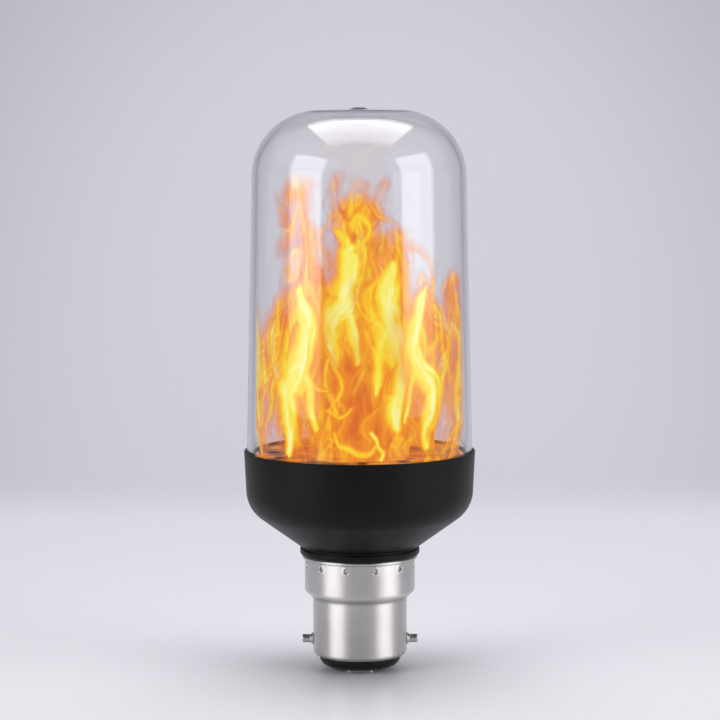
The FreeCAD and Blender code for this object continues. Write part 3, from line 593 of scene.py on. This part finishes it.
def flame_film(name, stands_for, radius, belly, top, tongues, glow, seed):
    """A sleeve on a grid of angle and height. Its glow is a broad cover frayed by noise, its warmth
    streaked by folded noise, and duller where a glow stroke is below zero. On that lie the tongues, each a
    bell across its stroke with a softer skirt on one side. Faces with next to no cover are left out. Above
    its foot the sleeve swells by belly mm, to stay near the drafted cover."""
    around = int(2 * math.pi * radius / GRAIN)
    up = int((top + FILM_SEAT) / GRAIN)
    turns, heights = np.linspace(-180, 180, around, endpoint=False), np.linspace(-FILM_SEAT, top, up)
    degrees, height = np.meshgrid(turns, heights)
    degrees, height = degrees.ravel(), height.ravel()
    a = np.radians(degrees)
    place = np.stack([radius * np.sin(a), -radius * np.cos(a), height], 1)
    slow, quick = place / (8.0, 8.0, 11.0), place / (2.6, 2.6, 4.2)
    sway = 1.0 * lattice_noise(slow, seed) + 0.3 * lattice_noise(quick, seed + 1)
    lift = 1.2 * lattice_noise(slow, seed + 2) + 0.4 * lattice_noise(quick, seed + 3)
    bent, raised = degrees + np.degrees(sway / radius), height + lift
    stir = lattice_noise(place / (5.0, 5.0, 8.0), seed + 4)
    drift = place + np.stack([1.5 * stir, 1.5 * stir, 3.0 * sway], 1)
    rise = lattice_noise(drift / (3.2, 4.8, 10.0), seed + 9)
    rise = rise + 0.5 * lattice_noise(drift / (1.5, 2.3, 4.5), seed + 10)
    curtain = fold(2.1 * lattice_noise(drift / (4.6, 7.4, 26.0), seed + 11) + 0.015 * height, 0.14)
    veil = fold(2.4 * lattice_noise(drift / (2.8, 4.5, 9.0), seed + 12), 0.2)
    loose = degrees + np.degrees(1.2 * sway / radius)
    dim, cool = np.ones_like(height), np.ones_like(height)
    for strength, points in glow:
        near, off, way, half = along_stroke(loose, height + 1.5 * lift, radius, points, GLOW_REACH)
        share = np.clip(1.5 - 1.5 * np.abs(off) / (half * GLOW_REACH[0] + GLOW_REACH[1]), 0, 1)
        if strength > 0:
            dim[near] *= 1 - np.clip(strength * share, 0, 0.97)
        else:
            cool[near] *= 1 + strength * share
    envelope = 1 - dim
    frayed = np.clip(1.7 * envelope - 0.5 + 0.55 * rise + 0.2 * (veil - 0.5), 0, 1) * (0.4 + 0.6 * envelope)
    streaks = 0.40 * (curtain - 0.45) + 0.30 * (veil - 0.45) + 0.14 * rise
    dull = np.clip(0.06 + 0.34 * envelope + streaks, 0, 0.76) * np.clip(2 * frayed, 0, 1) * cool
    body, solid = np.zeros_like(height), np.zeros_like(height)
    for number, (heat, points) in enumerate(tongues):
        near, off, way, half = along_stroke(bent, raised, radius, points, TONGUE_REACH)
        ribbon = np.stack([off / 1.3, way / 8.0, np.full(len(off), number * 5.3 + 40)], 1)
        rib = lattice_noise(ribbon, seed + 7)
        fine = lattice_noise(ribbon * (2.4, 2.0, 1), seed + 8)
        wide = np.maximum(half, 0.24) * (1 + 0.3 * lattice_noise(ribbon * (0.2, 2.2, 1), seed + 13))
        away = np.abs(off + half * (0.4 * rib + 0.15 * fine))
        soft = off * (1 if number % 2 else -1) > 0
        core = 1 / (1 + (away / wide / np.where(soft, 1.45, 1.1)) ** 2.7)
        soft_skirt = np.exp(-(away / (1.3 * wide + 1.3)) ** 1.5)
        skirt = np.where(soft, soft_skirt, np.exp(-(away / (wide + 0.4)) ** 2))
        window = np.clip((1 - np.abs(off) / (half * TONGUE_REACH[0] + TONGUE_REACH[1])) * 1.8, 0, 1)
        flow = (0.9 + 0.12 * fine + 0.18 * rib) * window
        body[near] = np.maximum(body[near], flow * np.maximum(heat * core, 0.36 * skirt))
        thick = np.clip(1.5 * core, 0, 1) * min(1, heat + 0.2)
        solid[near] = np.maximum(solid[near], window * np.maximum(thick, (0.18 + 0.4 * veil[near]) * skirt))
    brighter, dimmer = np.maximum(dull, body), np.minimum(dull, body)
    warmth = np.clip(brighter + 0.5 * dimmer * (1 - brighter), 0, 1)
    cover = (1 - (1 - frayed) * (1 - solid)) * np.clip((top - height) / 5, 0, 1)
    index = np.arange(up * around).reshape(up, around)
    low, high = index[:-1], index[1:]
    quads = np.stack([low, np.roll(low, -1, 1), np.roll(high, -1, 1), high], -1).reshape(-1, 4)
    used, quads = np.unique(quads[cover[quads].max(1) > 0.02], return_inverse=True)
    mesh = bpy.data.meshes.new(name)
    swell = 1 + belly / radius * np.clip(height / 7, 0, 1) * np.clip(1 - height / 70, 0, 1)
    stand = np.stack([place[:, 0] * swell, place[:, 1] * swell, height + DECK], 1)
    mesh.from_pydata(stand[used] * MM, [], quads.reshape(-1, 4).tolist())
    for field, values in (("warmth", warmth), ("cover", cover)):
        attribute = mesh.attributes.new(field, "FLOAT", "POINT")
        attribute.data.foreach_set("value", values[used].astype(np.float32))
    mesh.shade_smooth()
    mesh.materials.append(flame_print)
    piece = bpy.data.objects.new(name, mesh)
    scene.collection.objects.link(piece)
    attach(piece, "root")
    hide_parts(stands_for)
    return piece


# The films' radii in mm. The lens and the camera's place, in mm and degrees, which the last section uses
# too. Then the part of the photo that was enlarged to trace the flames, and how many of its pixels a
# millimetre takes.
INNER_FILM, MIDDLE_FILM, OUTER_FILM = 11.64, 17.34, 23.04
LENS, SENSOR, PHOTO_WIDTH = 135.15, 36.0, 720
CAMERA_SIDE, CAMERA_BACK, CAMERA_HEIGHT, CAMERA_DOWN, CAMERA_ROLL = 0.28, 627.0, 133.0, 5.49, 0.13
TRACING_LEFT, TRACING_TOP, TRACING_SCALE = 240, 195, 5
PIXELS_PER_MM = 4.4


def on_film(radius, x, y, width):
    """A traced mark as degrees round from the front, height over the deck and half width in mm. The
    camera's line of sight through it meets the film's near side, or is taken to touch its edge where it
    passes the film by."""
    focal = LENS / SENSOR * PHOTO_WIDTH
    across = (x / TRACING_SCALE + TRACING_LEFT - 359.5) / focal
    up = (360 - y / TRACING_SCALE - TRACING_TOP) / focal
    down = math.radians(CAMERA_DOWN)
    ahead, rise = math.cos(down) + up * math.sin(down), up * math.cos(down) - math.sin(down)
    square = across ** 2 + ahead ** 2
    hit = (CAMERA_BACK * ahead) ** 2 - square * (CAMERA_BACK ** 2 - radius ** 2)
    if hit < 0:
        angle, way = math.copysign(90, across), CAMERA_BACK / ahead
    else:
        way = (CAMERA_BACK * ahead - math.sqrt(hit)) / square
        angle = math.degrees(math.atan2(across * way, CAMERA_BACK - ahead * way))
    height = CAMERA_HEIGHT + rise * way - DECK
    return round(angle), round(2 * height) / 2, round(width / TRACING_SCALE / PIXELS_PER_MM, 1)


def traced(radius, fatten, strokes):
    """Strokes set on a film. Each was traced over the enlarged photo, as its heat and its marks: x
    to the right, y down and half width. A broad hot stroke is widened by fatten, since its soft rim wasn't
    traced."""
    made = []
    for heat, marks in strokes.values():
        broad = heat > 0.85 and max(w for _, _, w in marks) > 17
        made.append((heat, [on_film(radius, x, y, w * (fatten if broad else 1)) for x, y, w in marks]))
    return made


inner_tongues = traced(INNER_FILM, 1.5, {
    "tall middle flame": (1, [(560, 250, 14), (545, 280, 22), (560, 330, 34), (548, 400, 34),
        (530, 470, 36), (505, 540, 46), (460, 600, 48), (440, 660, 36), (448, 720, 28), (465, 790, 20),
        (480, 860, 12)]),
    "its right leg": (0.92, [(530, 560, 20), (555, 640, 18), (572, 740, 14), (580, 850, 9)]),
    "arc over its left shoulder": (0.8, [(470, 185, 8), (500, 200, 20), (530, 230, 22), (560, 270, 18)]),
    "curled head": (0.68, [(560, 150, 20), (590, 110, 26), (620, 120, 22), (640, 165, 12), (635, 200, 14),
        (620, 240, 10), (632, 290, 8), (630, 350, 9), (618, 400, 8), (600, 445, 5)]),
    "wisp at half height": (0.7, [(630, 760, 10), (600, 820, 14), (605, 880, 12), (590, 950, 8),
        (575, 1000, 5)]),
    "low crest": (0.7, [(620, 922, 6), (655, 920, 6), (690, 940, 5), (720, 970, 4)]),
})
inner_glow = traced(INNER_FILM, 1.0, {
    "hollow in the middle": (-0.62, [(640, 1290, 60), (640, 1190, 90), (610, 1080, 90), (570, 960, 80),
        (560, 830, 50)]),
    "body of the tall flame": (0.95, [(600, 1330, 190), (600, 1100, 190), (600, 900, 180),
        (590, 740, 160), (570, 560, 120), (560, 420, 90), (580, 260, 85), (590, 150, 60), (580, 90, 20)]),
    "body on its right": (0.7, [(700, 1330, 120), (700, 1100, 120), (700, 900, 120), (690, 740, 120),
        (680, 560, 90), (680, 400, 60), (700, 280, 30)]),
    "haze at the top left": (0.55, [(470, 110, 34), (455, 25, 24), (475, -37, 20), (525, -95, 6)]),
    "haze over the head": (0.5, [(588, 80, 50), (600, 0, 20), (625, -40, 6)]),
    "haze at the top right": (0.5, [(675, 80, 36), (700, 0, 20), (725, -40, 6)]),
})
middle_tongues = traced(MIDDLE_FILM, 1.4, {
    "flame right of the middle": (1, [(765, 340, 10), (748, 420, 26), (735, 500, 38), (738, 570, 34),
        (748, 640, 40), (768, 710, 56), (800, 780, 56), (818, 850, 36), (800, 930, 30), (780, 1000, 26),
        (770, 1080, 36), (780, 1160, 18)]),
    "its left leg": (0.95, [(735, 700, 40), (710, 790, 24), (695, 870, 16), (685, 940, 12),
        (668, 1000, 7)]),
    "fork to its left": (0.7, [(700, 420, 16), (660, 480, 24), (648, 540, 26), (670, 610, 20),
        (700, 660, 20)]),
    "small cup on the left": (0.75, [(440, 1075, 6), (490, 1112, 8), (530, 1105, 8), (560, 1060, 5)]),
    "cup at the foot": (0.75, [(480, 1190, 7), (500, 1250, 10), (550, 1290, 11), (600, 1302, 11),
        (650, 1292, 10), (685, 1258, 7)]),
    "spark at the foot": (0.95, [(665, 1205, 9), (692, 1232, 10), (698, 1270, 9), (716, 1295, 9),
        (703, 1340, 7)]),
    "bent wisp on the left": (0.75, [(440, 830, 8), (428, 900, 9), (436, 970, 10), (460, 1040, 12),
        (485, 1105, 10)]),
    "short wisp beside it": (0.65, [(500, 890, 6), (515, 960, 7), (490, 1000, 8), (500, 1060, 8)]),
    "tip at the top": (0.6, [(650, 70, 9), (690, 112, 9), (742, 135, 5)]),
    "tick high on the left": (0.5, [(455, 300, 6), (465, 355, 5)]),
    "fading lick on the right": (0.4, [(800, 190, 10), (770, 250, 14), (745, 300, 12), (740, 350, 8)]),
})
middle_glow = traced(MIDDLE_FILM, 1.0, {
    "hollow in the middle": (-0.6, [(640, 1280, 50), (640, 1180, 70), (600, 1080, 60), (560, 960, 50),
        (550, 840, 30)]),
    "body on the right": (0.85, [(720, 1330, 130), (730, 1150, 130), (750, 950, 130), (750, 760, 120),
        (740, 600, 100), (740, 450, 80), (745, 330, 50), (770, 240, 30), (790, 190, 10)]),
    "body low on the left": (0.8, [(480, 1340, 100), (480, 1200, 110), (470, 1080, 110), (460, 980, 60),
        (440, 900, 30)]),
    "haze at the top": (0.35, [(690, 200, 50), (720, 130, 40), (760, 100, 26), (775, 60, 10)]),
    "haze on the right": (0.3, [(850, 330, 50), (880, 400, 60), (900, 470, 50)]),
})
outer_tongues = traced(OUTER_FILM, 1.45, {
    "left flame": (1, [(300, 480, 12), (315, 545, 20), (340, 610, 34), (352, 670, 40), (345, 735, 38),
        (330, 800, 40), (300, 870, 48), (262, 925, 40), (240, 980, 32), (250, 1050, 30), (265, 1120, 24),
        (270, 1190, 18), (250, 1290, 10)]),
    "its right leg": (0.9, [(335, 900, 20), (355, 960, 14), (365, 1030, 12), (375, 1100, 10),
        (395, 1170, 6)]),
    "thread across from it": (0.7, [(350, 920, 12), (395, 965, 10), (440, 985, 5)]),
    "right flame": (1, [(915, 480, 8), (885, 550, 18), (868, 620, 26), (860, 690, 32), (870, 770, 32),
        (892, 850, 35), (928, 920, 40), (952, 985, 30), (945, 1050, 28), (922, 1120, 25), (905, 1185, 20),
        (915, 1260, 12)]),
    "its left leg": (0.85, [(862, 880, 18), (832, 960, 12), (816, 1040, 10), (800, 1130, 6)]),
    "thread down the right": (0.7, [(955, 555, 10), (980, 610, 5), (985, 690, 5), (990, 780, 5),
        (1003, 860, 5), (975, 950, 4)]),
    "long whisker at the right edge": (0.6, [(1040, 600, 6), (1070, 800, 7), (1075, 930, 8),
        (1090, 1060, 8), (1040, 1170, 8), (1000, 1280, 6)]),
    "whisker down to the left edge": (0.6, [(235, 680, 5), (232, 770, 5), (200, 850, 6), (150, 905, 7),
        (115, 950, 6)]),
    "whisker out to the left edge": (0.6, [(100, 890, 6), (170, 900, 6), (215, 930, 5)]),
    "zigzag at the left edge": (0.55, [(140, 930, 7), (160, 990, 8), (130, 1050, 8), (100, 1110, 6)]),
    "hook at the top left": (0.35, [(275, 0, 8), (295, -62, 12), (325, -88, 10), (362, -55, 5)]),
    "smaller hook under it": (0.3, [(325, 35, 6), (302, -15, 8), (312, -50, 6)]),
    "arch on the right": (0.3, [(820, 275, 5), (885, 290, 5), (930, 350, 5), (938, 430, 4)]),
})
outer_glow = traced(OUTER_FILM, 1.0, {
    "haze column on the left": (0.8, [(280, 720, 64), (270, 560, 80), (300, 420, 80), (300, 300, 85),
        (290, 200, 75), (280, 80, 65), (290, -30, 50), (290, -90, 16)]),
    "haze beside it": (0.4, [(380, 430, 50), (400, 320, 60), (400, 240, 50), (420, 180, 24)]),
    "body at the left edge": (0.85, [(110, 1300, 90), (120, 1150, 90), (120, 1000, 90), (140, 880, 80),
        (150, 760, 40)]),
    "body of the left flame": (0.6, [(290, 1330, 90), (300, 1150, 90), (290, 980, 90), (290, 820, 80),
        (300, 700, 50)]),
    "body at the right edge": (0.75, [(1060, 1290, 60), (1070, 1100, 70), (1070, 900, 86),
        (1060, 750, 76), (1050, 600, 66), (1040, 500, 46), (1060, 450, 14)]),
    "body of the right flame": (0.6, [(940, 1330, 90), (940, 1150, 80), (950, 980, 90), (950, 820, 90),
        (920, 660, 70), (890, 520, 40), (885, 440, 14)]),
    "haze over the right": (0.72, [(960, 700, 80), (1010, 600, 90), (1050, 510, 80)]),
})
# The traced front is filled out with thin licks, and the back half with copies of the traced flames.
rng = np.random.default_rng(5)
inner_all = inner_tongues + licks(rng, 12, -70, 140, 2, 30, 0.6)
inner_all += moved(inner_tongues[:2], -20, 105, 0.86, True) + moved(inner_tongues[:2], -20, 262, 0.8, True)
inner_all += moved(inner_tongues[:2], -20, 185, 0.7) + licks(rng, 12, 70, 220, 2, 26, 0.55)
inner_glow += moved(inner_glow[1:2], 0, 120, 0.8, True) + moved(inner_glow[1:2], 0, 240, 0.72)
flame_film("flames_inner", "flame_film_inner", INNER_FILM, 0.0, 68.0, inner_all, inner_glow, 11)
middle_all = middle_tongues + licks(rng, 9, -62, 50, 0, 12, 0.62) + licks(rng, 9, 5, 62, 0, 26, 0.62)
middle_all += moved(middle_tongues[:3], 25, 95, 0.9, True) + moved(middle_tongues[:3], 25, 160, 0.75)
middle_all += moved(middle_tongues[:3], 25, 215, 0.8, True) + moved(middle_tongues[:3], 25, 290, 0.7)
middle_glow += moved(middle_glow[1:3], 0, 110, 0.6) + moved(middle_glow[1:3], 0, 180, 0.5)
middle_glow += moved(middle_glow[1:3], 0, 250, 0.6)
flame_film("flames_middle", "flame_film_middle", MIDDLE_FILM, 0.4, 62.0, middle_all, middle_glow, 23)
outer_all = outer_tongues + licks(rng, 3, -85, 45, 2, 22, 0.5) + licks(rng, 4, 45, 45, 2, 26, 0.54)
outer_all += moved(outer_tongues[3:5], 40, 100, 0.9) + moved(outer_tongues[:2], -38, 145, 0.7, True)
outer_all += moved(outer_tongues[3:5], 40, 190, 0.75, True) + moved(outer_tongues[:2], -38, 232, 0.8)
outer_all += moved(outer_tongues[3:5], 40, 275, 0.85, True) + licks(rng, 14, 100, 160, 2, 20, 0.5)
outer_glow += moved(outer_glow[3:4], -38, 105, 0.9) + moved(outer_glow[3:4], -38, 150, 0.8, True)
outer_glow += moved(outer_glow[3:4], -38, 195, 0.85) + moved(outer_glow[3:4], -38, 235, 0.9, True)
flame_film("flames_outer", "flame_film_outer", OUTER_FILM, 1.3, 66.0, outer_all, outer_glow, 37)


# Clear cover
#
# One clear moulding with drafted sides and a big rounded shoulder, seated in the housing's rim. A small nub
# on its crown is where the mould was fed.

COVER_FOOT_RADIUS, SHOULDER_RADIUS, NUB_RADIUS, COVER_WALL = 26.383, 24.65, 2.3, 1.4
COVER_FOOT, CROWN_INSIDE, SHOULDER_TOP, CROWN, NUB_TOP = 47.7, 129.6, 130.5, 130.96, 131.4
SHOULDER_ROUND = 15.5


def cover_look(at):
    wave = at.noise(26, stretch=(1, 1, 0.35), detail=2)
    haze = at.noise(700, detail=3)
    return {"Roughness": haze.step(0.55, 0.9) * 0.02,
            "Normal": wave.bump(0.0008, 0.08)}


clear_plastic = finish("clear_plastic", cover_look, Base_Color=(0.985, 0.985, 0.985), Transmission_Weight=1.0,
                       IOR=1.5, Specular_IOR_Level=0.42)
cover_outside = rounded([
    (COVER_FOOT_RADIUS, COVER_FOOT, 0), (SHOULDER_RADIUS, SHOULDER_TOP, SHOULDER_ROUND),
    (NUB_RADIUS, CROWN, 0.8), (1.2, 131.36, 0.9), (0, NUB_TOP, 0)], step=3.0)
cover_inside = rounded([
    (0, CROWN_INSIDE, 0), (23.28, 129.1, SHOULDER_ROUND - COVER_WALL),
    (COVER_FOOT_RADIUS - COVER_WALL, COVER_FOOT, 0), (COVER_FOOT_RADIUS, COVER_FOOT, 0)], step=3.0)
cover_profile = np.concatenate([cover_outside, cover_inside])
cover_rings = turned(cover_profile, 256)
cover = skin("cover_dome", cover_rings, clear_plastic, "clear_plastic", "clear_cover", sharp=50)
cover.visible_shadow = False


# Floor, backdrop, light and camera
#
# A pale paper sweep: a floor that turns up into a backdrop, and fades out to the sides and past the camera.
# The backdrop is painted greyer, and darker away from its middle, as painted shade; the floor is painted
# lighter towards the front, as a painted pool of light. Two tall soft boxes at the front corners fade
# towards their feet, and a wide one overhead fades towards the front. The lens is long, and a little above
# the bulb's middle.

SWEEP_FRONT, SWEEP_BACK, SWEEP_TURN, SWEEP_TOP, SWEEP_SIDE = -0.9, 0.62, 0.36, 1.6, 1.4


def sweep_look(at):
    fibre = at.noise(300, detail=3)
    split = at.node("ShaderNodeSeparateXYZ", inputs={0: at})
    x, y, z = (Wire(at.tree, split.socket.node.outputs[i]) for i in range(3))
    back = (y + z * 0.4).step(0.215, 0.31)
    # Painted shade: the backdrop is painted greyer than the floor, and darker still away from its middle.
    away = ((x * x + (z - 0.06) * (z - 0.06)) ** 0.5).step(0.07, 0.27)
    # Painted light: the floor is painted lighter towards the front, as a pool of light.
    far_floor = fibre.blend((*paint(230, 229, 236), 1), (*paint(233, 232, 239), 1))
    lit_near_floor = fibre.blend((*paint(238, 237, 243), 1), (*paint(241, 240, 246), 1))
    floor = y.step(0.16, -0.08).blend(far_floor, lit_near_floor)
    shaded_wall = away.blend((*paint(214, 213, 222), 1), (*paint(184, 184, 194), 1))
    aside = at.math("ABSOLUTE", x).step(0.34, 0.52)
    past_camera = y.step(-0.48, -0.68)
    return {"Base Color": back.blend(floor, shaded_wall), "Roughness": 0.36 + back * 0.4 + fibre * 0.06,
            "Alpha": (1 - aside) * (1 - past_camera)}


paper = finish("paper_sweep", sweep_look, Specular_IOR_Level=0.3)
sweep_path = rounded([(SWEEP_FRONT, 0, 0), (SWEEP_BACK, 0, SWEEP_TURN), (SWEEP_BACK, SWEEP_TOP, 0)], step=2.0)
across = np.linspace(-SWEEP_SIDE, SWEEP_SIDE, 3)
sweep_grid = np.stack(np.broadcast_arrays(across[None, :], sweep_path[:, :1], sweep_path[:, 1:]), -1)
count = len(sweep_path)
index = np.arange(count * 3).reshape(count, 3)
sweep_faces = np.stack([index[:-1, :-1], index[:-1, 1:], index[1:, 1:], index[1:, :-1]], -1).reshape(-1, 4)
sweep_mesh = bpy.data.meshes.new("sweep")
sweep_mesh.from_pydata(sweep_grid.reshape(-1, 3), [], sweep_faces.tolist())
sweep_mesh.shade_smooth()
sweep_mesh.materials.append(paper)
sweep = bpy.data.objects.new("sweep", sweep_mesh)
scene.collection.objects.link(sweep)


def soft_box(name, place, aim, width, height, glow, fade=None):
    """A rectangular lamp at place, in metres, facing aim, of the given radiance. With a fade (low, high,
    share, foot) its glow falls from full at the share high of its height to share at low, and to foot at
    its foot."""
    light = bpy.data.lights.new(name, "AREA")
    light.shape = "RECTANGLE"
    light.size, light.size_y = width, height
    light.energy = glow * math.pi * width * height
    if fade:
        low, high, share, foot = fade
        light.use_nodes = True
        tree = light.node_tree
        spot = Wire(tree, tree.nodes.new("ShaderNodeNewGeometry").outputs["Parametric"])
        up = spot.node("ShaderNodeSeparateXYZ", out=1, inputs={0: spot})
        strength = up.step(low, high) * (1 - share) + up.step(0.0, low) * (share - foot) + foot
        tree.links.new(strength.socket, tree.nodes["Emission"].inputs["Strength"])
    lamp = bpy.data.objects.new(name, light)
    direction = np.array(aim, float) - place
    lamp.location = place
    yaw = math.atan2(direction[0], direction[1])
    tilt = math.atan2(direction[2], math.hypot(direction[0], direction[1]))
    lamp.rotation_euler = (math.pi / 2 + tilt, 0, -yaw)
    scene.collection.objects.link(lamp)


bulb_middle = (0, 0, 0.1)
side_fade = (0.085, 0.145, 0.35, 0.3)
soft_box("box_left", (-0.573, -0.344, 0.265), bulb_middle, 0.486, 0.53, 2.75, side_fade)
soft_box("box_right", (0.608, -0.277, 0.265), bulb_middle, 0.5, 0.53, 2.75, side_fade)
soft_box("box_top", (0.015, 0.06, 0.78), (0.015, 0.08, 0.1), 0.75, 0.76, 3.2, (0.25, 0.62, 0.78, 0.42))

# The world lights the bulb at a tenth. It is pale where the camera sees it past the sweep, and somewhat paler
# through the cover and in mirrors than as a light.
WORLD_LIGHT, SEEN, SEEN_THROUGH, MIRRORED = 0.1, 0.9, 0.5, 0.2
world = bpy.data.worlds.new("studio")
world.use_nodes = True
sky = world.node_tree
background = sky.nodes["Background"]
background.inputs["Color"].default_value = (*paint(206, 206, 214), 1)
path = sky.nodes.new("ShaderNodeLightPath")
camera_ray = Wire(sky, path.outputs["Is Camera Ray"])
through_ray = Wire(sky, path.outputs["Is Transmission Ray"])
mirror_ray = Wire(sky, path.outputs["Is Glossy Ray"])
strength = WORLD_LIGHT + SEEN * camera_ray + SEEN_THROUGH * through_ray + MIRRORED * mirror_ray
sky.links.new(strength.socket, background.inputs["Strength"])
scene.world = world

camera_data = bpy.data.cameras.new("camera")
camera_data.lens = LENS
camera_data.sensor_width = SENSOR
camera_data.clip_end = 20.0
camera = bpy.data.objects.new("camera", camera_data)
camera.location = (CAMERA_SIDE * MM, -CAMERA_BACK * MM, CAMERA_HEIGHT * MM)
camera.rotation_euler = (math.radians(90 - CAMERA_DOWN), math.radians(CAMERA_ROLL), 0)
scene.collection.objects.link(camera)
scene.camera = camera

scene.view_settings.view_transform = "Standard"
scene.cycles.max_bounces = 24
scene.cycles.transmission_bounces = 16
scene.cycles.transparent_max_bounces = 48
scene.cycles.glossy_bounces = 6
